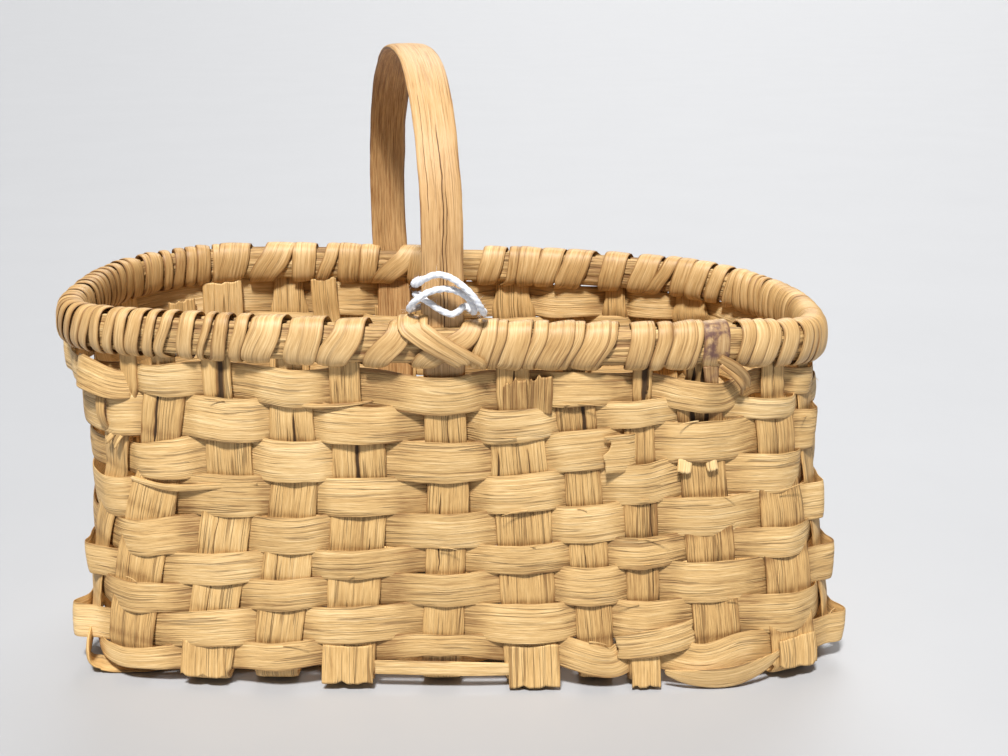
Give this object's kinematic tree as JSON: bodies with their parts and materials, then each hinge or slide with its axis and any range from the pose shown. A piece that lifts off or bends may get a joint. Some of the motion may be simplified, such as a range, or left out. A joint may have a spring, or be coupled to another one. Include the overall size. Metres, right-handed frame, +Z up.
{
  "type": "splint basket",
  "caption": "Oblong basket of woven flat wood splints with a lashed rim and one fixed bent handle over its short way.",
  "frame": {"origin": "on the floor, at the middle of the basket's length and width", "axes": "+Z up, +X along the basket's length to the right as seen from the front, +Y from the front wall to the back wall"},
  "size_m": [0.255, 0.1332, 0.1958],
  "materials": {
    "stake_splint": "dry old splint wood with long fibres",
    "weaver_splint": "dry old splint wood with long fibres",
    "rim_splint": "dry old splint wood",
    "lashing_splint": "thin satin splint wood",
    "handle_splint": "smooth, worn, satin wood",
    "cotton_string": "soft white cotton"
  },
  "bodies": {
    "root": {"cross_stake_1": "stake_splint", "cross_stake_2": "stake_splint", "cross_stake_3": "stake_splint", "cross_stake_4": "stake_splint", "cross_stake_5": "stake_splint", "cross_stake_6": "stake_splint", "cross_stake_7": "stake_splint", "cross_stake_8": "stake_splint", "cross_stake_9": "stake_splint", "cross_stake_10": "stake_splint", "long_stake_1": "stake_splint", "long_stake_2": "stake_splint", "long_stake_3": "stake_splint", "long_stake_4": "stake_splint", "weaver_row_1": "weaver_splint", "weaver_row_2": "weaver_splint", "weaver_row_3": "weaver_splint", "weaver_row_4": "weaver_splint", "weaver_row_5": "weaver_splint", "weaver_row_6": "weaver_splint", "weaver_row_7": "weaver_splint", "weaver_row_8": "weaver_splint", "weaver_row_9": "weaver_splint", "rim_outer": "rim_splint", "rim_inner": "rim_splint", "rim_lashing_1": "lashing_splint", "rim_lashing_2": "lashing_splint", "rim_lashing_3": "lashing_splint", "rim_lashing_4": "lashing_splint", "handle_cross_wrap": "lashing_splint", "handle": "handle_splint", "tag_string": "cotton_string"}
  },
  "joints": []
}
